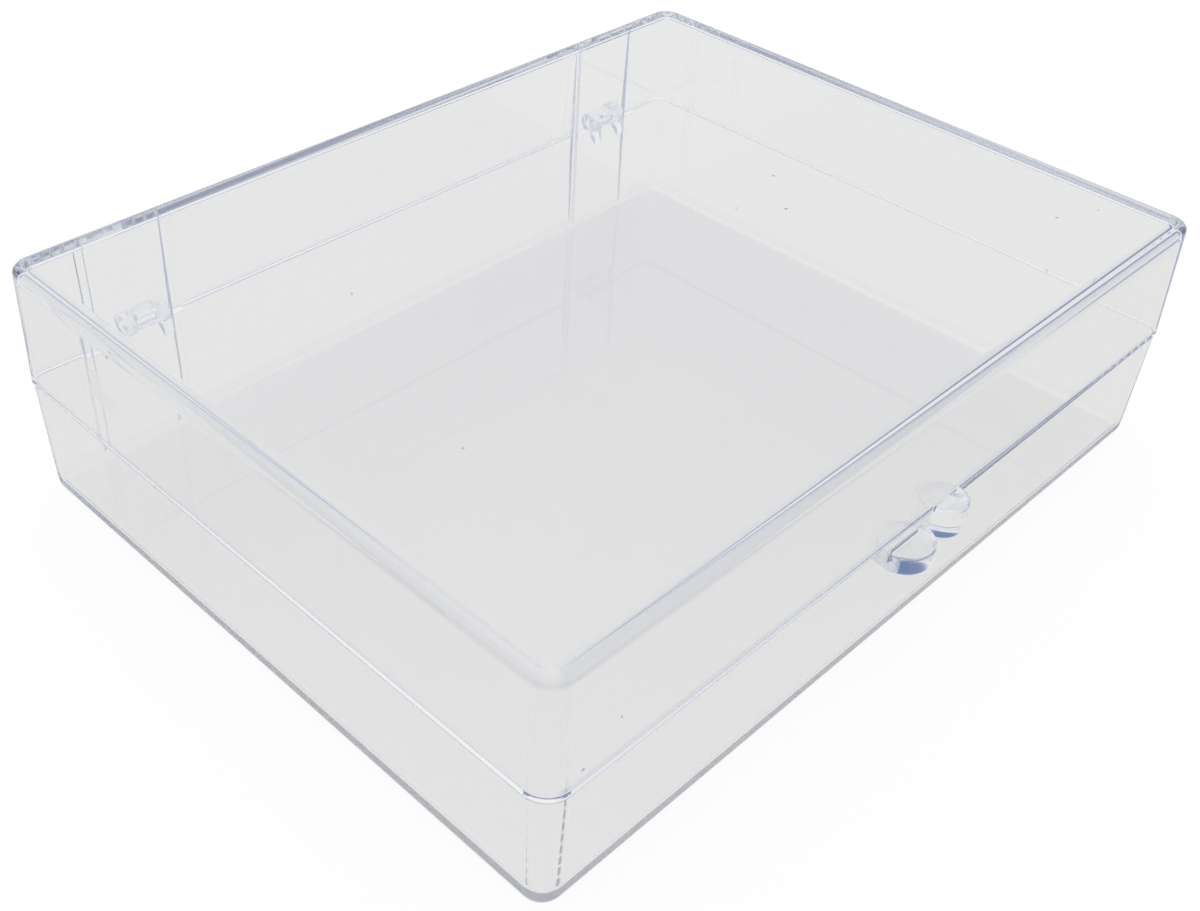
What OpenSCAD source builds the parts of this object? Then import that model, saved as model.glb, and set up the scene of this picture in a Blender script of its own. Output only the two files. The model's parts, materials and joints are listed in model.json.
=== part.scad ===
// A clear hinged box for one mineral specimen: a base tray and a lid.
// Each is moulded in one piece, with its hinge knuckles and latch tab.
// X runs along the hinge wall, the latch faces -Y, and Z is up from the table.

/* [Box] */
// Outside length of the lid's rim, along the hinge wall
box_length = 114; // [80:1:180]
// Outside width of the lid's rim, from the hinge wall to the latch wall
box_width = 89.2; // [60:0.1:140]
// Height of the base tray, from the table to the seam
base_height = 16.8; // [12:0.1:40]
// Height of the lid, from the seam to its top
lid_height = 15.8; // [10:0.1:40]
// Thickness of the lid's walls
wall = 1.4; // [1.2:0.1:1.8]
// Thickness of the base tray's floor
floor_t = 1.5; // [1:0.1:2.5]
// Thickness of the lid's top plate
top_t = 1.5; // [1:0.1:2.5]
// Outside radius of the upright corners at the lid's rim
corner_r = 3.2; // [3:0.1:8]
// How far the lid's walls lean in between the seam and the top
lid_draft = 0.5; // [0.1:0.05:0.8]
// How far the base tray's walls lean in between the seam and the floor
base_draft = 0.45; // [0.1:0.05:0.6]
// Radius of the lid's outside top edge
top_edge_r = 1; // [0.2:0.1:1.6]
// Radius of the base tray's outside bottom edge
bottom_edge_r = 1.8; // [0.2:0.1:1.9]
// Radius inside, where the walls meet the floor and the top plate
inside_edge_r = 1.2; // [0.2:0.1:3]

/* [Rim] */
// How far the lid's rim stands out past the base tray's rim
rim_step = 0.16; // [0.05:0.01:0.3]
// Gap at the seam between the two rims
seam_gap = 0.05; // [0.02:0.01:0.2]

/* [Hinges] */
// Distance from the middle of the box to the middle of each hinge channel
channel_x = 41.9; // [20:0.1:45]
// Width of each upright channel in the hinge wall
channel_w = 10.6; // [9:0.1:16]
// Depth of each channel behind the lid's rim
channel_depth = 0.85; // [0.6:0.05:1.4]
// Radius of the upright corners where the wall bends round a channel
channel_edge_r = 0.5; // [0.2:0.1:0.6]
// How far each hinge sits to the +X side of its channel's middle
hinge_shift = 1.9; // [0:0.1:2]
// Diameter of the hinge pins
pin_d = 1.6; // [1.2:0.1:1.8]
// Running clearance round each pin, on the radius
pin_gap = 0.05; // [0.02:0.01:0.1]
// Outside diameter of the ears and hooks round the pins
knuckle_d = 3; // [2.8:0.1:3.4]
// Clearance between the knuckles and the channel's back wall
knuckle_gap = 0.15; // [0.1:0.01:0.3]
// Width of each lid hook
hook_w = 3.4; // [2:0.1:3.6]
// Width of each base ear
ear_w = 1.3; // [0.8:0.1:1.4]
// Clearance between a hook and the ears beside it
side_gap = 0.15; // [0.1:0.01:0.2]
// Width of the mouth that lets a hook snap over its pin
mouth_w = 1.2; // [0.8:0.1:1.4]
// Angle of the mouth below the horizontal, on the outer side
mouth_angle = 50; // [20:5:70]

/* [Latch] */
// Distance of the lid tab's middle to the +X side of the box's middle
lid_tab_x = 5.3; // [5.2:0.1:12]
// Radius of the lid tab's round outline, seen from above
lid_tab_r = 2.7; // [2:0.1:3.2]
// How far the lid tab stands out past the lid's rim
lid_tab_out = 2.85; // [2.8:0.05:3.6]
// How far the lid tab rises above the seam
lid_tab_rise = 1.1; // [0.6:0.1:2]
// How far the lid tab hangs down over the base tray
lid_tab_drop = 3.5; // [2:0.1:6]
// Distance of the base tab's middle to the +X side of the box's middle
base_tab_x = -1.4; // [-6:0.1:-1.2]
// Radius of the base tab's round outline, seen from above
base_tab_r = 3.6; // [2:0.1:4]
// How far the base tab stands out past the lid's rim
base_tab_out = 3.4; // [2.4:0.1:4]
// Height of the base tab
base_tab_h = 2.8; // [2.4:0.1:5]
// Gap between the seam and the base tab's top
base_tab_gap = 1.3; // [0.1:0.1:2]
// Radius of the top edge round both tabs
tab_edge_r = 0.5; // [0.2:0.1:0.8]
// Radius of the bottom edge round both tabs
tab_foot_r = 1; // [0.4:0.1:1.2]
// Length of the catch ridge behind the lid tab
ridge_l = 3.6; // [2:0.1:4]
// Radius of the catch ridge
ridge_r = 0.6; // [0.4:0.1:0.8]
// How far the catch ridge stands out from the base tray's wall
ridge_out = 0.18; // [0.05:0.01:0.2]
// Distance of the catch ridge below the seam
ridge_drop = 1.9; // [1.2:0.1:3]

/* [Hidden] */
$fn = 48;
bite = 0.3;
past = 10;
seam_z = base_height;
half_w = box_width / 2;
// The axis stands clear of the channel's back wall by one knuckle radius
knuckle_r = knuckle_d / 2;
reach = knuckle_r + knuckle_gap;
face_y = half_w - channel_depth;
axis_y = face_y + reach;
axis_z = seam_z;
hinge_out = axis_y + knuckle_r - half_w;
// The body sits off centre so that the whole outline is centred on the origin
mid_y = (base_tab_out - hinge_out) / 2;
pad_w = channel_w + 2 * wall;
pad_y = face_y - wall;
inner_u = corner_r - wall;
pad_out = face_y - 0.15;
// The inside edge stays clear of the upright corners' axes
inner_edge_r = min(inside_edge_r, inner_u - max(lid_draft, base_draft) - 0.1);

// One side's upright outline: the seam is at v = 0 and the plate ends at v = h.
// It leans in by lean and its far edge has the radius r.
module side_outline(u, lean, h, r, under = 0) {
  a = atan(lean / h);
  cu = u - lean * (h - r) / h - r / cos(a);
  tip = [cu + r * cos(a), h - r + r * sin(a)];
  polygon([[0, -under], [u, -under], [u, 0], tip, [cu, h - r], [cu, h], [0, h]]);
  translate([cu, h - r])
    intersection() {
      circle(r = r);
      square(r);
    }
}

// The wall and the strip of plate beside it, cut through
module shell_section(u, lean, h, plate, edge_r) {
  difference() {
    side_outline(u, lean, h, edge_r);
    side_outline(inner_u, lean, h - plate, inner_edge_r, 1);
  }
}

// The base tray's section, upside down
module base_section() {
  shell_section(corner_r - rim_step, base_draft, base_height, floor_t, bottom_edge_r);
}

module lid_section() {
  shell_section(corner_r, lid_draft, lid_height - seam_gap, top_t, top_edge_r);
}

// Sweeps a section round the box; its x is the distance out from a corner's axis
module swept() {
  ix = box_length / 2 - corner_r;
  iy = half_w - corner_r;
  for (k = [0, 1])
    rotate([0, 0, 180 * k]) {
      translate([ix, iy, 0])
        rotate_extrude(angle = 90)
          children();
      translate([-ix, iy, 0])
        rotate([0, 0, 90])
          rotate_extrude(angle = 90)
            children();
      translate([-ix, iy, 0])
        rotate([90, 0, 90])
          linear_extrude(2 * ix)
            children();
      translate([ix, iy, 0])
        rotate([90, 0, 0])
          linear_extrude(2 * iy)
            children();
    }
}

// The flat plate inside the swept walls, with its far face at z = h
module plate_middle(h, t) {
  ix = box_length / 2 - corner_r;
  iy = half_w - corner_r;
  translate([-ix, -iy, h - t])
    cube([2 * ix, 2 * iy, t]);
}

// Places its children at the middle of each hinge channel
module at_channels() {
  for (s = [-1, 1])
    translate([s * channel_x, 0, 0])
      children();
}

// Extrudes a y-z outline along X, centred on x
module along_x(x, w) {
  translate([x - w / 2, 0, 0])
    rotate([90, 0, 90])
      linear_extrude(w)
        children();
}

// The inner bend of the wall round a channel, from z = 0 to z = h and out to y = out
module channel_pad(h, out) {
  w = pad_w / 2 - channel_edge_r;
  depth = out - pad_y;
  linear_extrude(h) {
    translate([-pad_w / 2, pad_y + channel_edge_r])
      square([pad_w, depth - channel_edge_r]);
    translate([-w, pad_y])
      square([2 * w, depth]);
    for (s = [-1, 1])
      translate([s * w, pad_y + channel_edge_r])
        circle(r = channel_edge_r);
  }
}

// The channel that is cut into the outside of the hinge wall
module channel_cut() {
  translate([-channel_w / 2, face_y, -past])
    cube([channel_w, past, 2 * past + base_height + lid_height]);
}

// A knuckle's side view, with the arm that joins it to the channel's back wall
module knuckle_outline(up) {
  root = reach + bite;
  translate([axis_y, axis_z])
    mirror([0, up ? 0 : 1]) {
      circle(r = knuckle_r);
      polygon([[0, knuckle_r], [-root, knuckle_r + root], [-root, 0.35], [0, 0.35]]);
    }
}

module base_ears() {
  for (s = [-1, 1])
    along_x(hinge_shift + s * (hook_w / 2 + side_gap + ear_w / 2), ear_w)
      knuckle_outline(false);
  along_x(hinge_shift, hook_w + 2 * (side_gap + ear_w))
    translate([axis_y, axis_z])
      circle(d = pin_d);
}

module lid_hook() {
  along_x(hinge_shift, hook_w)
    difference() {
      knuckle_outline(true);
      translate([axis_y, axis_z])
        circle(r = pin_d / 2 + pin_gap);
      translate([axis_y, axis_z])
        rotate(-mouth_angle)
          translate([0, -mouth_w / 2])
            square([knuckle_d, mouth_w]);
    }
}

// A half-round tab with its flat side on y = 0, standing out towards -Y
module tab(r, h) {
  rotate([0, 0, 180])
    rotate_extrude(angle = 180) {
      translate([0, tab_foot_r])
        square([r, h - tab_foot_r - tab_edge_r]);
      square([r - tab_foot_r, h - tab_edge_r]);
      translate([0, tab_foot_r])
        square([r - tab_edge_r, h - tab_foot_r]);
      translate([r - tab_foot_r, tab_foot_r])
        circle(r = tab_foot_r);
      translate([r - tab_edge_r, h - tab_edge_r])
        circle(r = tab_edge_r);
    }
}

module base_tab() {
  bottom = seam_z - base_tab_gap - base_tab_h;
  foot = base_tab_out - base_tab_r;
  translate([base_tab_x, -half_w - foot, bottom]) {
    tab(base_tab_r, base_tab_h);
    translate([-base_tab_r + tab_foot_r, -0.1, tab_foot_r])
      cube([2 * (base_tab_r - tab_foot_r), foot + 0.1 + 2 * bite + rim_step, base_tab_h - tab_foot_r - tab_edge_r]);
  }
}

module lid_tab() {
  foot = lid_tab_out - lid_tab_r;
  low = seam_z + seam_gap;
  translate([lid_tab_x, -half_w - foot, seam_z - lid_tab_drop])
    tab(lid_tab_r, lid_tab_drop + lid_tab_rise);
  translate([lid_tab_x - lid_tab_r + tab_edge_r, -half_w - foot - 0.1, low])
    cube([2 * (lid_tab_r - tab_edge_r), foot + 0.1 + bite, lid_tab_rise - tab_edge_r]);
}

// The ridge that the lid tab rides over
module catch_ridge() {
  lean = base_draft * ridge_drop / base_height;
  along_x(lid_tab_x, ridge_l)
    translate([-half_w + rim_step + lean - ridge_out + ridge_r, seam_z - ridge_drop])
      circle(r = ridge_r);
}

module base_tray() {
  color("aliceblue")
    translate([0, mid_y, 0]) {
      difference() {
        union() {
          translate([0, 0, seam_z])
            rotate([180, 0, 0]) {
              swept()
                base_section();
              plate_middle(base_height, floor_t);
            }
          at_channels()
            translate([0, 0, floor_t - bite])
              channel_pad(base_height - floor_t + bite, pad_out);
        }
        at_channels()
          channel_cut();
      }
      at_channels()
        base_ears();
      base_tab();
      catch_ridge();
    }
}

module lid() {
  high = lid_height - seam_gap;
  color("lightsteelblue")
    translate([0, mid_y, 0]) {
      difference() {
        translate([0, 0, seam_z + seam_gap]) {
          swept()
            lid_section();
          plate_middle(high, top_t);
          at_channels()
            channel_pad(high - top_t + bite, pad_out);
        }
        at_channels()
          channel_cut();
      }
      at_channels()
        lid_hook();
      lid_tab();
    }
}

base_tray();
lid();
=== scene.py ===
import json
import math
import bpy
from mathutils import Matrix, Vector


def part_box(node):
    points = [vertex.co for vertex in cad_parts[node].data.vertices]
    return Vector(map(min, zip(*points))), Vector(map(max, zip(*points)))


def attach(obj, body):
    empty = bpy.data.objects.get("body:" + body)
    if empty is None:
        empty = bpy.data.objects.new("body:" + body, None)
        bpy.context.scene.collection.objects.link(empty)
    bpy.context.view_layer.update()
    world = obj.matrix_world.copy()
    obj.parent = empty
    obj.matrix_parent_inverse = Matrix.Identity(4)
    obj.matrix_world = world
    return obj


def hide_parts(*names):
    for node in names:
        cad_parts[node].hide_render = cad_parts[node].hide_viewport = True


bl_info = {
    "name": "Mineral specimen box",
    "version": (1, 0, 0),
    "blender": (4, 5, 0),
    "location": "3D View > Sidebar > Specimen Box",
    "description": "Moulds the hinged clear polystyrene specimen box and sets its stage",
    "category": "Object",
}

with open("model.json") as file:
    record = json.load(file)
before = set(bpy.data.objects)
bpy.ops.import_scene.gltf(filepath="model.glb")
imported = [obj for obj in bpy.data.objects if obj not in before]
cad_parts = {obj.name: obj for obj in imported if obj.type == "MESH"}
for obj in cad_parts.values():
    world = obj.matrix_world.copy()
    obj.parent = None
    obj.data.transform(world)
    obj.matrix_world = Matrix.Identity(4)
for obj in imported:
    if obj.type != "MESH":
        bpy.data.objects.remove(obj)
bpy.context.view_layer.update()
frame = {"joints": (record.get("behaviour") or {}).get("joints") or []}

import bmesh
import bpy
from mathutils import Matrix, Vector

MM = 0.001

LID_LOW, LID_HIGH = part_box("lid")
HINGE = next(j for j in frame["joints"] if j["name"] == "lid_hinge")
SEAM_Z = HINGE["pos_m"][2] / MM

# Steps of the upright corners, the rounded edges, the rims' small edges and round parts
CORNER_STEPS = 24
EDGE_STEPS = 10
FINE_STEPS = 4
ROUND_STEPS = 40
# Where a swept section starts, outwards from a corner's axis, in mm
PLATE_START = 0.1
# Faces that meet at more than this angle keep a sharp edge
SHARP_ANGLE = math.radians(28)
# How far joined parts reach into each other, in mm
BITE = 0.3

# The floor hangs this far below the box's foot, in metres
FLOOR_DROP = 0.0001
FLOOR_COLOUR = (0.85, 0.85, 0.85, 1.0)
# The floor's tone for rays that come through the plastic, and straight to the camera
FLOOR_THROUGH = (0.80, 0.797, 0.785, 1.0)
WHITE = (1.0, 1.0, 1.0, 1.0)
# Share of its own shading that the floor shows the camera, and with it the box's shadow
SHADOW_SHARE = 0.07

# What the faces mirror and bend in: a pale light tent with dim blue sides.
# Each side is a colour, its azimuth and elevation, and where it starts and ends to fade.
TENT = (0.92, 0.92, 0.94)
TENT_SIDES = (
    ((0.50, 0.54, 0.66), 135.0, 5.0, 25.0, 60.0),
    ((0.50, 0.54, 0.66), -45.0, 5.0, 25.0, 60.0),
    ((0.13, 0.19, 0.38), -45.0, 35.0, 15.0, 40.0),
)
# Name, place, size in metres and power in watts of each lamp, all aimed at LAMP_AIM
LAMPS = (
    ("lamp_top", (0.0, 0.0, 1.1), 0.9, 6.0),
    ("lamp_left", (-0.8, 0.9, 0.8), 0.6, 2.0),
    ("lamp_right", (0.9, -0.8, 0.8), 0.6, 2.0),
)
LAMP_AIM = Vector((0, 0, 0.015))
# Light runs a long way along the inside of the walls before it comes out
GLASS_BOUNCES = 96

# The photo's camera, in pixels of a picture 1200 wide, degrees and metres
PHOTO_WIDTH = 1200
FOCAL_PX = 1503.0
AZIMUTH, ELEVATION, ROLL = -46.56, 38.95, 2.51
CENTRE_PX = (-46.3, 1.3)
EYE = Vector((-206.5, -177.3, 218.4)) * 0.57 * MM + Vector((0, 0.55 * MM, 0))
SENSOR_WIDTH = 36.0


def length(name, text, value, **more):
    return bpy.props.FloatProperty(
        name=name, description=text + ", in millimetres", default=value, min=0.0, **more
    )


# ---------------------------------------------------------------- settings


class ShellSizes(bpy.types.PropertyGroup):
    """Walls, plates and rim of the two mouldings."""

    box_length: length("Length", "Outside length of the lid's rim", (LID_HIGH.x - LID_LOW.x) / MM)
    box_width: length("Width", "Outside width of the lid's rim", 89.2)
    base_height: length("Base height", "Table to seam", SEAM_Z)
    lid_height: length("Lid height", "Seam to the lid's top", LID_HIGH.z / MM - SEAM_Z)
    wall: length("Wall", "Thickness of the walls", 1.4)
    floor_t: length("Floor", "Thickness of the base tray's floor", 1.5)
    top_t: length("Top plate", "Thickness of the lid's top plate", 1.5)
    corner_r: length("Corner radius", "Outside radius of the upright corners", 3.2)
    lid_draft: length("Lid draft", "How far the lid's walls lean in", 0.5)
    base_draft: length("Base draft", "How far the base tray's walls lean in", 0.45)
    top_edge_r: length("Top edge", "Radius of the lid's outside top edge", 1.0)
    bottom_edge_r: length("Bottom edge", "Radius of the base tray's outside bottom edge", 1.8)
    inside_edge_r: length("Inside edge", "Radius where the walls meet the plates", 1.2)
    rim_step: length("Rim step", "How far the lid's rim stands out past the base's", 0.16)
    seam_gap: length("Seam gap", "Gap between the two rims", 0.05)
    rim_edge_r: length("Rim edge", "Radius of the small edges of both rims", 0.3)


class HingeSizes(bpy.types.PropertyGroup):
    """Channels, ears and hooks of the two hinges."""

    channel_x: length("Channel place", "Middle of the box to the middle of a channel", 41.9)
    channel_w: length("Channel width", "Width of each channel in the hinge wall", 10.6)
    channel_depth: length("Channel depth", "Depth of each channel", 0.85)
    channel_edge_r: length("Channel bend", "Radius of the wall's bends round a channel", 0.5)
    hinge_shift: length("Hinge shift", "Channel's middle to the hinge's middle", 1.9)
    pin_d: length("Pin", "Diameter of the hinge pins", 1.6)
    pin_gap: length("Pin clearance", "Running clearance round each pin", 0.05)
    knuckle_d: length("Knuckle", "Outside diameter of the ears and hooks", 3.0)
    knuckle_gap: length("Knuckle clearance", "Knuckle to the channel's back wall", 0.15)
    hook_w: length("Hook width", "Width of each lid hook", 3.4)
    ear_w: length("Ear width", "Width of each base ear", 1.3)
    side_gap: length("Side clearance", "Hook to the ears beside it", 0.15)
    mouth_w: length("Mouth", "Width of the mouth that snaps over the pin", 1.2)
    mouth_angle: bpy.props.FloatProperty(
        name="Mouth angle",
        description="Angle of the mouth below the horizontal",
        subtype="ANGLE",
        default=math.radians(50),
    )


class LatchSizes(bpy.types.PropertyGroup):
    """The two latch tabs and the catch ridge."""

    lid_tab_x: length("Lid tab place", "Middle of the box to the lid tab's middle", 5.3)
    lid_tab_r: length("Lid tab radius", "Radius of the lid tab seen from above", 2.7)
    lid_tab_out: length("Lid tab reach", "How far the lid tab stands out", 2.85)
    lid_tab_rise: length("Lid tab rise", "Seam to the lid tab's top", 1.1)
    lid_tab_drop: length("Lid tab drop", "Seam to the lid tab's foot", 3.5)
    base_tab_back: length(
        "Base tab place", "Middle of the box to the base tab's middle, towards -X", 1.4
    )
    base_tab_r: length("Base tab radius", "Radius of the base tab seen from above", 3.6)
    base_tab_out: length("Base tab reach", "How far the base tab stands out", 3.4)
    base_tab_h: length("Base tab height", "Height of the base tab", 2.8)
    base_tab_gap: length("Base tab gap", "Seam to the base tab's top", 1.3)
    tab_edge_r: length("Tab top edge", "Radius of the top edge round both tabs", 0.5)
    tab_foot_r: length("Tab bottom edge", "Radius of the bottom edge round both tabs", 1.0)
    ridge_l: length("Ridge length", "Length of the catch ridge", 3.6)
    ridge_r: length("Ridge radius", "Radius of the catch ridge", 0.6)
    ridge_out: length("Ridge height", "How far the catch ridge stands out", 0.18)
    ridge_drop: length("Ridge drop", "Seam to the catch ridge", 1.9)
    bevel_start: length("Bevel at the latch", "Bevel on the base rim right of the latch", 0.9)
    bevel_end: length("Bevel at the corner", "What is left of that bevel at the corner", 0.35)


class PlasticSettings(bpy.types.PropertyGroup):
    """Clear polystyrene of both mouldings."""

    absorb_colour: bpy.props.FloatVectorProperty(
        name="Body tint",
        description="Colour that stays after light has run a long way inside the plastic",
        subtype="COLOR",
        size=3,
        min=0.0,
        max=1.0,
        default=(0.30, 0.45, 0.75),
    )
    absorb_density: bpy.props.FloatProperty(
        name="Tint density",
        description="How fast the tint builds up, per metre of plastic",
        default=10.0,
        min=0.0,
        max=200.0,
    )
    fleck_colour: bpy.props.FloatVectorProperty(
        name="Fleck colour",
        description="Colour of the tiny flecks and dust specks in the faces",
        subtype="COLOR",
        size=3,
        min=0.0,
        max=1.0,
        default=(0.22, 0.24, 0.27),
    )
    haze: bpy.props.FloatProperty(
        name="Haze", description="Roughness of the clear faces", default=0.03, min=0.0, max=1.0
    )
    scuff: bpy.props.FloatProperty(
        name="Foot scuff",
        description="Roughness added to the underside that stands on the table",
        default=0.35,
        min=0.0,
        max=1.0,
    )
    waviness: bpy.props.FloatProperty(
        name="Waviness",
        description="Height of the faint waves that moulding leaves",
        unit="LENGTH",
        default=0.00001,
        precision=6,
    )


class StageSettings(bpy.types.PropertyGroup):
    """Size of the stage's floor."""

    floor_size: bpy.props.FloatProperty(
        name="Floor size",
        description="Side of the square floor",
        default=6.0,
        unit="LENGTH",
    )


# ---------------------------------------------------------------- outlines and solids


def arc(cx, cy, r, start, end, steps):
    turn = [math.radians(start + (end - start) * i / steps) for i in range(steps + 1)]
    return [(cx + r * math.cos(t), cy + r * math.sin(t)) for t in turn]


def rounded(corners):
    """A line through corners (x, y, radius, steps), each bent to its radius."""
    line = []
    for i, (x, y, r, steps) in enumerate(corners):
        here = Vector((x, y))
        if r <= 0 or steps < 1:
            line.append((x, y))
            continue
        before = (Vector(corners[i - 1][:2]) - here).normalized()
        after = (Vector(corners[(i + 1) % len(corners)][:2]) - here).normalized()
        half = before.angle(after) / 2
        centre = here + (before + after).normalized() * (r / math.sin(half))
        reach = r / math.tan(half)
        a = here + before * reach - centre
        b = here + after * reach - centre
        turn = a.angle_signed(b)
        for k in range(steps + 1):
            t = -turn * k / steps
            c, s = math.cos(t), math.sin(t)
            line.append((centre.x + c * a.x - s * a.y, centre.y + s * a.x + c * a.y))
    return line


def new_piece(name, mesh):
    piece = bpy.data.objects.new(name, mesh)
    bpy.context.scene.collection.objects.link(piece)
    return piece


def solid(bm):
    bmesh.ops.recalc_face_normals(bm, faces=bm.faces)
    mesh = bpy.data.meshes.new("solid")
    bm.to_mesh(mesh)
    bm.free()
    return new_piece("tool", mesh)


def prism(outline, low, high, along="z"):
    """The outline drawn out from low to high along z, or along x for a y-z outline."""
    bm = bmesh.new()

    def at(p, w):
        return (p[0], p[1], w) if along == "z" else (w, p[0], p[1])

    ends = [[bm.verts.new(Vector(at(p, w)) * MM) for p in outline] for w in (low, high)]
    bm.faces.new(ends[0])
    bm.faces.new(reversed(ends[1]))
    n = len(outline)
    for i in range(n):
        j = (i + 1) % n
        bm.faces.new((ends[0][i], ends[1][i], ends[1][j], ends[0][j]))
    return solid(bm)


def bevel_wedge(start, end, y, z):
    """A wedge that bevels an edge along X, from one (x, bevel size) to the other."""
    out, skin = 1.0, 0.02
    bm = bmesh.new()
    ends = []
    for x, size in (start, end):
        outline = ((-out, out), (size, out), (size, skin), (-skin, -size), (-out, -size))
        ends.append([bm.verts.new((x * MM, (y + dy) * MM, (z + dz) * MM)) for dy, dz in outline])
    bm.faces.new(ends[0])
    bm.faces.new(reversed(ends[1]))
    n = len(ends[0])
    for i in range(n):
        j = (i + 1) % n
        bm.faces.new((ends[0][i], ends[1][i], ends[1][j], ends[0][j]))
    return solid(bm)


def turned(profile, centre, start, end, steps):
    """The r-z profile turned from start to end degrees round an upright axis, with closed ends."""
    bm = bmesh.new()
    rings = []
    for k in range(steps + 1):
        t = math.radians(start + (end - start) * k / steps)
        rings.append(
            [
                bm.verts.new(
                    Vector((centre[0] + r * math.cos(t), centre[1] + r * math.sin(t), z)) * MM
                )
                for r, z in profile
            ]
        )
    n = len(profile)
    for a, b in zip(rings, rings[1:]):
        for i in range(n):
            j = (i + 1) % n
            bm.faces.new((a[i], a[j], b[j], b[i]))
    bm.faces.new(rings[0])
    bm.faces.new(reversed(rings[-1]))
    bmesh.ops.remove_doubles(bm, verts=bm.verts, dist=1e-7)
    bmesh.ops.dissolve_degenerate(bm, edges=bm.edges, dist=1e-8)
    return solid(bm)


def settle(piece):
    """The piece with its modifiers worked into a plain mesh."""
    bpy.context.view_layer.update()
    graph = bpy.context.evaluated_depsgraph_get()
    mesh = bpy.data.meshes.new_from_object(piece.evaluated_get(graph))
    piece.modifiers.clear()
    piece.data = mesh
    return piece


def cut_or_join(piece, tools, operation):
    for tool in tools:
        step = piece.modifiers.new("step", "BOOLEAN")
        step.operation = operation
        step.solver = "MANIFOLD"
        step.object = tool
        settle(piece)
        bpy.data.objects.remove(tool)
    return piece


# ---------------------------------------------------------------- swept shells


def shell_tree():
    """A section swept round a rectangle with round corners."""
    old = bpy.data.node_groups.get("moulded_shell")
    if old:
        return old
    tree = bpy.data.node_groups.new("moulded_shell", "GeometryNodeTree")
    for name, kind in (
        ("Section", "NodeSocketGeometry"),
        ("Length", "NodeSocketFloat"),
        ("Width", "NodeSocketFloat"),
        ("Corner radius", "NodeSocketFloat"),
        ("Corner steps", "NodeSocketInt"),
        ("Material", "NodeSocketMaterial"),
    ):
        tree.interface.new_socket(name=name, in_out="INPUT", socket_type=kind)
    tree.interface.new_socket(name="Shell", in_out="OUTPUT", socket_type="NodeSocketGeometry")
    link = tree.links.new
    given = tree.nodes.new("NodeGroupInput").outputs
    outline = add(tree, "GeometryNodeCurvePrimitiveQuadrilateral", mode="RECTANGLE")
    corners = add(tree, "GeometryNodeFilletCurve", mode="POLY")
    section = add(tree, "GeometryNodeMeshToCurve")
    sweep = add(tree, "GeometryNodeCurveToMesh")
    real = add(tree, "GeometryNodeRealizeInstances")
    finish = add(tree, "GeometryNodeSetMaterial")
    link(given["Length"], outline.inputs["Width"])
    link(given["Width"], outline.inputs["Height"])
    link(outline.outputs[0], corners.inputs["Curve"])
    link(given["Corner radius"], corners.inputs["Radius"])
    link(given["Corner steps"], corners.inputs["Count"])
    link(given["Section"], section.inputs["Mesh"])
    link(corners.outputs[0], sweep.inputs["Curve"])
    link(section.outputs[0], sweep.inputs["Profile Curve"])
    link(sweep.outputs[0], real.inputs[0])
    link(real.outputs[0], finish.inputs["Geometry"])
    link(given["Material"], finish.inputs["Material"])
    link(finish.outputs[0], tree.nodes.new("NodeGroupOutput").inputs[0])
    return tree


def swept_shell(name, section, sizes, material):
    """A shell from a section of (distance out from a corner's axis, height) points in mm."""
    r = sizes.corner_r
    mesh = bpy.data.meshes.new(name)
    mesh.from_pydata(
        [((u - r) * MM, -z * MM, 0.0) for u, z in section],
        [(i, i + 1) for i in range(len(section) - 1)],
        [],
    )
    piece = new_piece(name, mesh)
    sweep = piece.modifiers.new("sweep", "NODES")
    sweep.node_group = shell_tree()
    ids = {
        i.name: i.identifier
        for i in sweep.node_group.interface.items_tree
        if i.in_out == "INPUT"
    }
    sweep[ids["Length"]] = sizes.box_length * MM
    sweep[ids["Width"]] = sizes.box_width * MM
    sweep[ids["Corner radius"]] = r * MM
    sweep[ids["Corner steps"]] = CORNER_STEPS
    sweep[ids["Material"]] = material
    settle(piece)
    bm = bmesh.new()
    bm.from_mesh(piece.data)
    bmesh.ops.remove_doubles(bm, verts=bm.verts, dist=1e-7)
    rim = [e for e in bm.edges if e.is_boundary]
    bmesh.ops.holes_fill(bm, edges=rim, sides=0)
    bmesh.ops.recalc_face_normals(bm, faces=bm.faces)
    bm.to_mesh(piece.data)
    bm.free()
    return piece


def smooth(piece, material):
    """Round faces shade round and flat ones stay flat."""
    bm = bmesh.new()
    bm.from_mesh(piece.data)
    bmesh.ops.remove_doubles(bm, verts=bm.verts, dist=2e-7)
    bmesh.ops.dissolve_degenerate(bm, edges=bm.edges, dist=1e-7)
    for f in bm.faces:
        f.smooth = True
    for e in bm.edges:
        e.smooth = len(e.link_faces) == 2 and e.calc_face_angle(0) < SHARP_ANGLE
    bm.to_mesh(piece.data)
    bm.free()
    even = piece.modifiers.new("even", "WEIGHTED_NORMAL")
    even.mode = "FACE_AREA"
    even.weight = 100
    even.keep_sharp = True
    settle(piece)
    piece.data.materials.clear()
    piece.data.materials.append(material)
    return piece


# ---------------------------------------------------------------- node helpers


def new_material(name):
    old = bpy.data.materials.get(name)
    if old:
        bpy.data.materials.remove(old)
    material = bpy.data.materials.new(name)
    material.use_nodes = True
    material.node_tree.nodes.clear()
    return material


def add(tree, kind, **values):
    node = tree.nodes.new(kind)
    for key, value in values.items():
        if hasattr(node, key):
            setattr(node, key, value)
        else:
            node.inputs[key.replace("_", " ")].default_value = value
    return node


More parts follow.
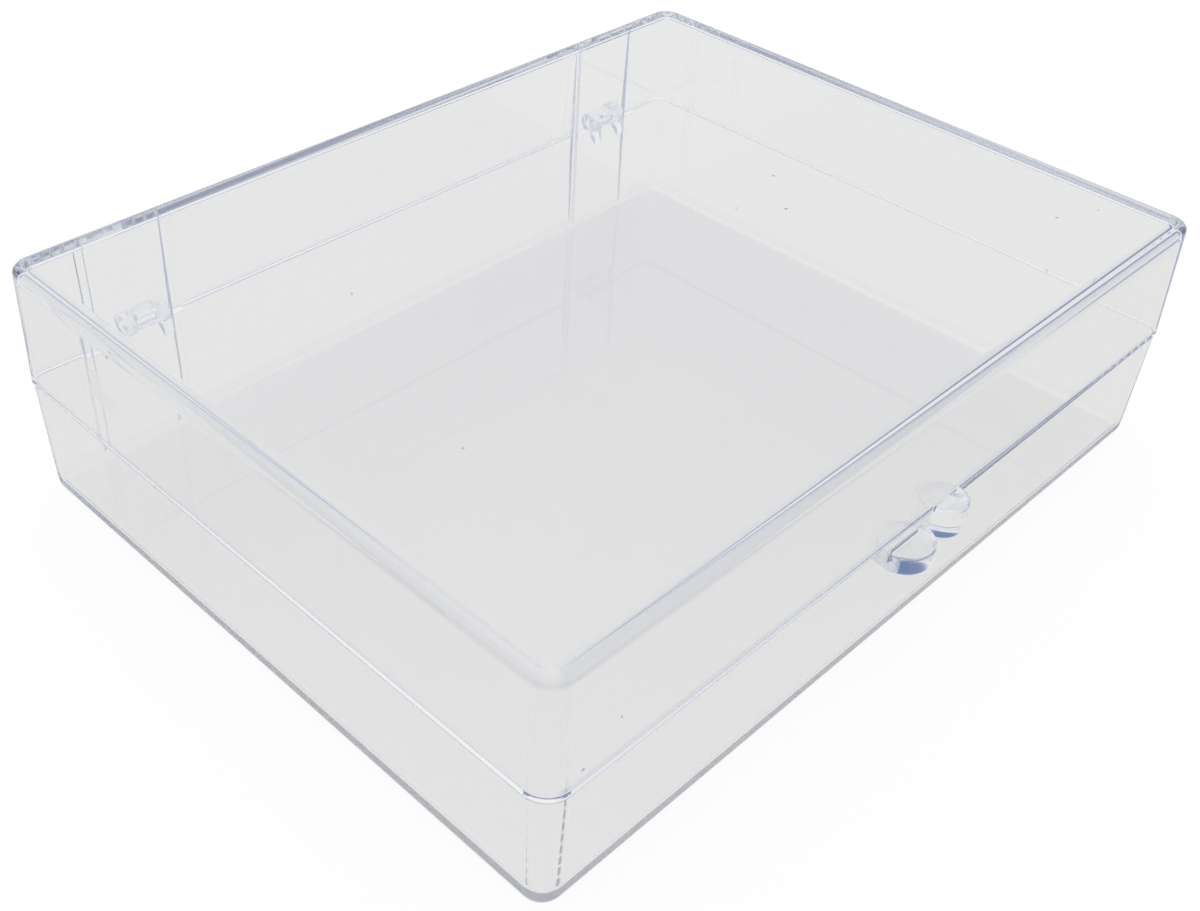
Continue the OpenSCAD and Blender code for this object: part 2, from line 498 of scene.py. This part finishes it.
def surface_group():
    """A moulded, handled face: haze, hairlines, scuffs on the foot, and a few dark flecks."""
    old = bpy.data.node_groups.get("moulded_surface")
    if old:
        return old
    tree = bpy.data.node_groups.new("moulded_surface", "ShaderNodeTree")
    for name, value in (
        ("Haze", 0.03),
        ("Hairlines", 0.1),
        ("Foot scuff", 0.3),
        ("Foot height", 0.0004),
        ("Fleck spacing", 0.011),
        ("Fleck size", 0.0002),
    ):
        socket = tree.interface.new_socket(name=name, in_out="INPUT", socket_type="NodeSocketFloat")
        socket.default_value = value
    for name in ("Roughness", "Relief", "Flecks"):
        tree.interface.new_socket(name=name, in_out="OUTPUT", socket_type="NodeSocketFloat")
    link = tree.links.new
    given = tree.nodes.new("NodeGroupInput").outputs
    result = tree.nodes.new("NodeGroupOutput").inputs
    where = add(tree, "ShaderNodeTexCoord").outputs["Object"]

    def maths(operation, a, b, c=None):
        node = add(tree, "ShaderNodeMath", operation=operation)
        for socket, value in zip(node.inputs, (a, b, c)):
            if value is None:
                continue
            if isinstance(value, (int, float)):
                socket.default_value = value
            else:
                link(value, socket)
        return node.outputs[0]

    def noise(scale, stretch=(1, 1, 1), turn=0.0, detail=2.0):
        place = add(tree, "ShaderNodeMapping")
        place.inputs["Scale"].default_value = stretch
        place.inputs["Rotation"].default_value = (0.0, 0.0, turn)
        link(where, place.inputs["Vector"])
        grain = add(tree, "ShaderNodeTexNoise", Scale=scale, Detail=detail)
        link(place.outputs[0], grain.inputs["Vector"])
        return grain.outputs["Fac"]

    def ramp(value, low, high, start=0.0, end=1.0):
        node = add(tree, "ShaderNodeMapRange", interpolation_type="SMOOTHSTEP")
        link(value, node.inputs["Value"])
        for key, v in (("From Min", low), ("From Max", high), ("To Min", start), ("To Max", end)):
            if isinstance(v, (int, float)):
                node.inputs[key].default_value = v
            else:
                link(v, node.inputs[key])
        return node.outputs[0]

    height = add(tree, "ShaderNodeSeparateXYZ")
    link(where, height.inputs[0])
    foot = ramp(height.outputs["Z"], 0.0, given["Foot height"], 1.0, 0.0)
    scuff = maths("MULTIPLY", foot, given["Foot scuff"])
    haze = maths("MULTIPLY", given["Haze"], ramp(noise(30.0), 0.3, 0.7, 0.8, 1.2))
    lines = maths(
        "MAXIMUM",
        ramp(noise(60.0, (1.0, 40.0, 1.0), 0.5), 0.76, 0.80),
        ramp(noise(60.0, (40.0, 1.0, 1.0), 0.25), 0.77, 0.80),
    )
    lines = maths("MULTIPLY", lines, given["Hairlines"])
    link(maths("ADD", maths("ADD", haze, scuff), lines), result["Roughness"])
    cells = add(tree, "ShaderNodeTexVoronoi", Randomness=1.0)
    link(where, cells.inputs["Vector"])
    link(maths("DIVIDE", 1.0, given["Fleck spacing"]), cells.inputs["Scale"])
    away = maths("MULTIPLY", cells.outputs["Distance"], given["Fleck spacing"])
    ragged = maths("MULTIPLY", ramp(noise(900.0), 0.3, 0.7), 0.00012)
    edge = maths("ADD", given["Fleck size"], ragged)
    link(ramp(away, maths("MULTIPLY", edge, 0.6), edge, 1.0, 0.0), result["Flecks"])
    waves, grain = noise(45.0, detail=1.0), maths("MULTIPLY", noise(400.0), 0.04)
    link(maths("ADD", waves, grain), result["Relief"])
    return tree


def clear_plastic(name, settings):
    material = new_material(name)
    tree = material.node_tree
    link = tree.links.new
    out = add(tree, "ShaderNodeOutputMaterial")
    face = add(tree, "ShaderNodeGroup")
    face.node_tree = surface_group()
    face.inputs["Haze"].default_value = settings.haze
    face.inputs["Foot scuff"].default_value = settings.scuff
    bump = add(tree, "ShaderNodeBump", Strength=1.0, Distance=settings.waviness)
    link(face.outputs["Relief"], bump.inputs["Height"])
    body = add(tree, "ShaderNodeBsdfPrincipled")
    clear = add(tree, "ShaderNodeMix", data_type="RGBA")
    clear.inputs["A"].default_value = (1.0, 1.0, 1.0, 1.0)
    clear.inputs["B"].default_value = (*settings.fleck_colour, 1.0)
    link(face.outputs["Flecks"], clear.inputs["Factor"])
    link(clear.outputs["Result"], body.inputs["Base Color"])
    body.inputs["Metallic"].default_value = 0.0
    body.inputs["IOR"].default_value = 1.59
    body.inputs["Transmission Weight"].default_value = 1.0
    link(face.outputs["Roughness"], body.inputs["Roughness"])
    link(bump.outputs[0], body.inputs["Normal"])
    through = add(tree, "ShaderNodeBsdfTransparent")
    through.inputs["Color"].default_value = (0.9, 0.9, 0.9, 1.0)
    path = add(tree, "ShaderNodeLightPath")
    mix = add(tree, "ShaderNodeMixShader")
    link(path.outputs["Is Shadow Ray"], mix.inputs["Fac"])
    link(body.outputs[0], mix.inputs[1])
    link(through.outputs[0], mix.inputs[2])
    link(mix.outputs[0], out.inputs["Surface"])
    tint = add(tree, "ShaderNodeVolumeAbsorption")
    tint.inputs["Color"].default_value = (*settings.absorb_colour, 1.0)
    tint.inputs["Density"].default_value = settings.absorb_density
    link(tint.outputs[0], out.inputs["Volume"])
    return material


# ---------------------------------------------------------------- pieces


class Shape:
    """Distances that follow from the sizes, in mm."""

    def __init__(self, scene):
        s, h, t = scene.boxcase_shell, scene.boxcase_hinge, scene.boxcase_latch
        self.s, self.h, self.t = s, h, t
        self.half_w = s.box_width / 2
        self.knuckle_r = h.knuckle_d / 2
        self.reach = self.knuckle_r + h.knuckle_gap
        self.face_y = self.half_w - h.channel_depth
        self.axis_y = self.face_y + self.reach
        self.mid_y = HINGE["pos_m"][1] / MM - self.axis_y
        self.pad_w = h.channel_w + 2 * s.wall
        self.pad_y = self.face_y - s.wall
        self.inner_u = s.corner_r - s.wall

    def place(self, piece):
        piece.data.transform(Matrix.Translation((0, self.mid_y * MM, 0)))
        return piece

    def pad(self, x, low, high, out):
        w, r = self.pad_w / 2, self.h.channel_edge_r
        return prism(
            rounded(
                [
                    (x - w, out, 0, 0),
                    (x - w, self.pad_y, r, 8),
                    (x + w, self.pad_y, r, 8),
                    (x + w, out, 0, 0),
                ]
            ),
            low,
            high,
        )

    def channel(self, x):
        w = self.h.channel_w / 2
        return prism(
            rounded(
                [
                    (x - w, self.face_y + 10, 0, 0),
                    (x - w, self.face_y, 0.25, 5),
                    (x + w, self.face_y, 0.25, 5),
                    (x + w, self.face_y + 10, 0, 0),
                ]
            ),
            -10,
            60,
        )

    def knuckle(self, x, w, up):
        d = 1 if up else -1
        y, z, r = self.axis_y, SEAM_Z, self.knuckle_r
        root = self.reach + BITE
        ball = prism(arc(y, z, r, 0, 360, 48)[:-1], x - w / 2, x + w / 2, "x")
        arm = prism(
            [
                (y, z + d * r),
                (y - root, z + d * (r + root)),
                (y - root, z + d * 0.35),
                (y, z + d * 0.35),
            ],
            x - w / 2,
            x + w / 2,
            "x",
        )
        return cut_or_join(ball, [arm], "UNION")

    def tab(self, x, r, out, low, high):
        """A half-round tab set out from the wall, without the straight foot that joins it to the
        wall.
        """
        t = self.t
        foot = out - r
        centre = (x, -self.half_w - foot)
        profile = rounded(
            [
                (0, low, 0, 0),
                (r, low, t.tab_foot_r, 12),
                (r, high, t.tab_edge_r, 8),
                (0, high, 0, 0),
            ]
        )
        return turned(profile, centre, 180, 360, ROUND_STEPS), centre


class BOXCASE_OT_base_tray(bpy.types.Operator):
    """Mould the base tray with its hinge ears, latch tab and catch ridge"""

    bl_idname = "boxcase.base_tray"
    bl_label = "Mould base tray"

    def execute(self, context):
        scene = context.scene
        shape = Shape(scene)
        s, h, t = shape.s, shape.h, shape.t
        material = clear_plastic("clear_base_polystyrene", scene.boxcase_plastic)
        u, v = s.corner_r - s.rim_step, shape.inner_u
        top, inside = s.base_height, s.floor_t
        fine = s.rim_edge_r / 3
        section = rounded(
            [
                (PLATE_START, 0, 0, 0),
                (u - s.base_draft, 0, s.bottom_edge_r, EDGE_STEPS),
                (u, top, s.rim_edge_r, FINE_STEPS),
                (v, top, fine, FINE_STEPS),
                (v - s.base_draft, inside, s.inside_edge_r, EDGE_STEPS),
                (PLATE_START, inside, 0, 0),
            ]
        )
        piece = swept_shell("base_tray_moulding", section, s, material)
        for side in (-1, 1):
            x = side * h.channel_x
            cut_or_join(piece, [shape.pad(x, inside - BITE, top, shape.face_y + 0.2)], "UNION")
            cut_or_join(piece, [shape.channel(x)], "DIFFERENCE")
            mid = x + h.hinge_shift
            step = h.hook_w / 2 + h.side_gap + h.ear_w / 2
            ears = [shape.knuckle(mid + k * step, h.ear_w, False) for k in (-1, 1)]
            reach = h.hook_w / 2 + h.side_gap + h.ear_w
            pin = prism(
                arc(shape.axis_y, SEAM_Z, h.pin_d / 2, 0, 360, ROUND_STEPS)[:-1],
                mid - reach,
                mid + reach,
                "x",
            )
            cut_or_join(piece, [*ears, pin], "UNION")
        high = top - t.base_tab_gap
        tab, centre = shape.tab(
            -t.base_tab_back, t.base_tab_r, t.base_tab_out, high - t.base_tab_h, high
        )
        w = t.base_tab_r - t.tab_foot_r
        foot = prism(
            [
                (centre[0] - w, centre[1] - 0.1),
                (centre[0] + w, centre[1] - 0.1),
                (centre[0] + w, -shape.half_w + 0.6 + s.rim_step),
                (centre[0] - w, -shape.half_w + 0.6 + s.rim_step),
            ],
            high - t.base_tab_h + t.tab_foot_r,
            high - t.tab_edge_r,
        )
        lean = s.base_draft * t.ridge_drop / s.base_height
        ridge = prism(
            arc(
                -shape.half_w + s.rim_step + lean - t.ridge_out + t.ridge_r,
                top - t.ridge_drop,
                t.ridge_r,
                0,
                360,
                40,
            )[:-1],
            t.lid_tab_x - t.ridge_l / 2,
            t.lid_tab_x + t.ridge_l / 2,
            "x",
        )
        cut_or_join(piece, [tab, foot, ridge], "UNION")
        bevel = bevel_wedge(
            (t.lid_tab_x + t.lid_tab_r - 1.2, t.bevel_start),
            (s.box_length / 2 - s.corner_r, t.bevel_end),
            -shape.half_w + s.rim_step,
            top,
        )
        cut_or_join(piece, [bevel], "DIFFERENCE")
        shape.place(smooth(piece, material))
        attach(piece, "base")
        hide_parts("base_tray")
        return {"FINISHED"}


class BOXCASE_OT_lid(bpy.types.Operator):
    """Mould the lid with its hinge hooks and latch tab"""

    bl_idname = "boxcase.lid"
    bl_label = "Mould lid"

    def execute(self, context):
        scene = context.scene
        shape = Shape(scene)
        s, h, t = shape.s, shape.h, shape.t
        material = clear_plastic("clear_lid_polystyrene", scene.boxcase_plastic)
        u, v = s.corner_r, shape.inner_u
        low = s.base_height + s.seam_gap
        top = s.base_height + s.lid_height
        under = top - s.top_t
        fine = s.rim_edge_r / 3
        section = rounded(
            [
                (PLATE_START, top, 0, 0),
                (u - s.lid_draft, top, s.top_edge_r, EDGE_STEPS),
                (u, low, fine, FINE_STEPS),
                (v, low, fine, FINE_STEPS),
                (v - s.lid_draft, under, s.inside_edge_r, EDGE_STEPS),
                (PLATE_START, under, 0, 0),
            ]
        )
        piece = swept_shell("lid_moulding", section, s, material)
        for side in (-1, 1):
            x = side * h.channel_x
            cut_or_join(piece, [shape.pad(x, low, under + BITE, shape.face_y + 0.2)], "UNION")
            cut_or_join(piece, [shape.channel(x)], "DIFFERENCE")
            mid = x + h.hinge_shift
            hook = shape.knuckle(mid, h.hook_w, True)
            wide = h.hook_w / 2 + 1
            bore = prism(
                arc(shape.axis_y, SEAM_Z, h.pin_d / 2 + h.pin_gap, 0, 360, ROUND_STEPS)[:-1],
                mid - wide,
                mid + wide,
                "x",
            )
            a = -h.mouth_angle
            along, across = Vector((math.cos(a), math.sin(a))), Vector((-math.sin(a), math.cos(a)))
            axis = Vector((shape.axis_y, SEAM_Z))
            m = across * (h.mouth_w / 2)
            mouth = prism(
                [
                    tuple(axis - m),
                    tuple(axis - m + along * h.knuckle_d),
                    tuple(axis + m + along * h.knuckle_d),
                    tuple(axis + m),
                ],
                mid - wide,
                mid + wide,
                "x",
            )
            cut_or_join(hook, [bore, mouth], "DIFFERENCE")
            cut_or_join(piece, [hook], "UNION")
        tab, centre = shape.tab(
            t.lid_tab_x,
            t.lid_tab_r,
            t.lid_tab_out,
            s.base_height - t.lid_tab_drop,
            s.base_height + t.lid_tab_rise,
        )
        w = t.lid_tab_r - t.tab_edge_r
        foot = prism(
            [
                (centre[0] - w, centre[1] - 0.1),
                (centre[0] + w, centre[1] - 0.1),
                (centre[0] + w, -shape.half_w + 0.3),
                (centre[0] - w, -shape.half_w + 0.3),
            ],
            low,
            low + t.lid_tab_rise - t.tab_edge_r,
        )
        cut_or_join(piece, [tab, foot], "UNION")
        shape.place(smooth(piece, material))
        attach(piece, "lid")
        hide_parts("lid")
        return {"FINISHED"}


def lay_floor(scene, side):
    """A floor that is white to the camera and pale grey to what looks through the plastic."""
    half = side / 2
    mesh = bpy.data.meshes.new("studio_floor")
    mesh.from_pydata(
        [(-half, -half, 0), (half, -half, 0), (half, half, 0), (-half, half, 0)],
        [],
        [(0, 1, 2, 3)],
    )
    floor = bpy.data.objects.new("studio_floor", mesh)
    floor.location.z = -FLOOR_DROP
    scene.collection.objects.link(floor)
    material = new_material("studio_floor_white")
    tree = material.node_tree
    link = tree.links.new
    out = add(tree, "ShaderNodeOutputMaterial")
    matt = add(tree, "ShaderNodeBsdfDiffuse")
    matt.inputs["Color"].default_value = FLOOR_COLOUR
    glow = add(tree, "ShaderNodeEmission")
    glow.inputs["Strength"].default_value = 1.0
    path = add(tree, "ShaderNodeLightPath")
    straight_or_glossy = add(tree, "ShaderNodeMath", operation="ADD")
    link(path.outputs["Is Camera Ray"], straight_or_glossy.inputs[0])
    link(path.outputs["Is Glossy Ray"], straight_or_glossy.inputs[1])
    seen = add(tree, "ShaderNodeMath", operation="ADD", use_clamp=True)
    link(straight_or_glossy.outputs[0], seen.inputs[0])
    link(path.outputs["Is Transmission Ray"], seen.inputs[1])
    tone = add(tree, "ShaderNodeMix", data_type="RGBA")
    tone.inputs["A"].default_value = FLOOR_THROUGH
    tone.inputs["B"].default_value = WHITE
    link(path.outputs["Is Camera Ray"], tone.inputs["Factor"])
    link(tone.outputs["Result"], glow.inputs["Color"])
    shade = add(tree, "ShaderNodeMath", operation="MULTIPLY")
    link(path.outputs["Is Camera Ray"], shade.inputs[0])
    shade.inputs[1].default_value = SHADOW_SHARE
    share = add(tree, "ShaderNodeMath", operation="SUBTRACT", use_clamp=True)
    link(seen.outputs[0], share.inputs[0])
    link(shade.outputs[0], share.inputs[1])
    mix = add(tree, "ShaderNodeMixShader")
    link(share.outputs[0], mix.inputs["Fac"])
    link(matt.outputs[0], mix.inputs[1])
    link(glow.outputs[0], mix.inputs[2])
    link(mix.outputs[0], out.inputs["Surface"])
    mesh.materials.append(material)


def direction(azimuth, elevation):
    az, el = math.radians(azimuth), math.radians(elevation)
    return (math.cos(az) * math.cos(el), math.sin(az) * math.cos(el), math.sin(el))


def hang_tent(scene):
    """A world that is white to the camera and a light tent to everything else."""
    world = bpy.data.worlds.new("studio_world")
    scene.world = world
    world.use_nodes = True
    tree = world.node_tree
    tree.nodes.clear()
    link = tree.links.new
    out = add(tree, "ShaderNodeOutputWorld")
    background = add(tree, "ShaderNodeBackground")
    path = add(tree, "ShaderNodeLightPath")
    around = add(tree, "ShaderNodeTexCoord").outputs["Generated"]
    cloth = add(tree, "ShaderNodeRGB")
    cloth.outputs[0].default_value = (*TENT, 1.0)
    colour = cloth.outputs[0]
    for tone, azimuth, elevation, inner, outer in TENT_SIDES:
        toward = add(tree, "ShaderNodeVectorMath", operation="DOT_PRODUCT")
        toward.inputs[1].default_value = direction(azimuth, elevation)
        link(around, toward.inputs[0])
        side = add(tree, "ShaderNodeMapRange", interpolation_type="SMOOTHSTEP")
        side.inputs["From Min"].default_value = math.cos(math.radians(outer))
        side.inputs["From Max"].default_value = math.cos(math.radians(inner))
        link(toward.outputs["Value"], side.inputs["Value"])
        blend = add(tree, "ShaderNodeMix", data_type="RGBA")
        link(side.outputs[0], blend.inputs["Factor"])
        link(colour, blend.inputs["A"])
        blend.inputs["B"].default_value = (*tone, 1.0)
        colour = blend.outputs["Result"]
    seen = add(tree, "ShaderNodeMix", data_type="RGBA")
    link(path.outputs["Is Camera Ray"], seen.inputs["Factor"])
    link(colour, seen.inputs["A"])
    seen.inputs["B"].default_value = WHITE
    link(seen.outputs["Result"], background.inputs["Color"])
    link(background.outputs[0], out.inputs["Surface"])


def hang_lamps(scene):
    """Soft lamps that light the floor but leave no square patch in the plastic."""
    for name, place, size, power in LAMPS:
        data = bpy.data.lights.new(name, "AREA")
        data.shape = "SQUARE"
        data.size = size
        data.energy = power
        lamp = bpy.data.objects.new(name, data)
        lamp.location = place
        aim = LAMP_AIM - Vector(place)
        lamp.rotation_mode = "QUATERNION"
        lamp.rotation_quaternion = aim.to_track_quat("-Z", "Y")
        lamp.visible_glossy = False
        lamp.visible_transmission = False
        scene.collection.objects.link(lamp)


def set_camera(scene):
    data = bpy.data.cameras.new("photo_camera")
    data.sensor_width = SENSOR_WIDTH
    data.lens = FOCAL_PX / PHOTO_WIDTH * SENSOR_WIDTH
    data.shift_x = -CENTRE_PX[0] / PHOTO_WIDTH
    data.shift_y = CENTRE_PX[1] / PHOTO_WIDTH
    data.clip_start = 0.005
    data.clip_end = 20.0
    az, el, ro = (math.radians(v) for v in (AZIMUTH, ELEVATION, ROLL))
    back = Vector((math.sin(az) * math.cos(el), -math.cos(az) * math.cos(el), math.sin(el)))
    level = Vector((0, 0, 1)).cross(back).normalized()
    upward = back.cross(level)
    right = math.cos(ro) * level + math.sin(ro) * upward
    up = -math.sin(ro) * level + math.cos(ro) * upward
    camera = bpy.data.objects.new("photo_camera", data)
    turn = Matrix((right, up, back)).transposed().to_4x4()
    camera.matrix_world = Matrix.Translation(EYE) @ turn
    scene.collection.objects.link(camera)
    scene.camera = camera


class BOXCASE_OT_stage(bpy.types.Operator):
    """Lay the pale floor, hang the tent and the soft lamps, and set the camera"""

    bl_idname = "boxcase.stage"
    bl_label = "Set stage"

    def execute(self, context):
        scene = context.scene
        lay_floor(scene, scene.boxcase_stage.floor_size)
        hang_tent(scene)
        hang_lamps(scene)
        set_camera(scene)
        scene.view_settings.view_transform = "Standard"
        cycles = scene.cycles
        cycles.max_bounces = GLASS_BOUNCES
        cycles.transmission_bounces = GLASS_BOUNCES
        cycles.glossy_bounces = GLASS_BOUNCES
        cycles.diffuse_bounces = 3
        cycles.transparent_max_bounces = 32
        cycles.volume_bounces = 0
        cycles.caustics_reflective = False
        cycles.caustics_refractive = False
        return {"FINISHED"}


class BOXCASE_PT_panel(bpy.types.Panel):
    """Specimen box controls"""

    bl_idname = "BOXCASE_PT_panel"
    bl_label = "Specimen Box"
    bl_space_type = "VIEW_3D"
    bl_region_type = "UI"
    bl_category = "Specimen Box"

    def draw(self, context):
        for name in GROUPS:
            group = getattr(context.scene, name)
            for key in group.__annotations__:
                self.layout.prop(group, key)
        for step in STEPS:
            self.layout.operator(step.bl_idname)


STEPS = (BOXCASE_OT_base_tray, BOXCASE_OT_lid, BOXCASE_OT_stage)
GROUPS = {
    "boxcase_shell": ShellSizes,
    "boxcase_hinge": HingeSizes,
    "boxcase_latch": LatchSizes,
    "boxcase_plastic": PlasticSettings,
    "boxcase_stage": StageSettings,
}
CLASSES = (*GROUPS.values(), *STEPS, BOXCASE_PT_panel)


def register():
    for c in CLASSES:
        bpy.utils.register_class(c)
    for name, group in GROUPS.items():
        setattr(bpy.types.Scene, name, bpy.props.PointerProperty(type=group))


def unregister():
    for name in GROUPS:
        delattr(bpy.types.Scene, name)
    for c in reversed(CLASSES):
        bpy.utils.unregister_class(c)


def main():
    register()
    bpy.ops.boxcase.base_tray()
    bpy.ops.boxcase.lid()
    bpy.ops.boxcase.stage()


if __name__ == "__main__":
    main()
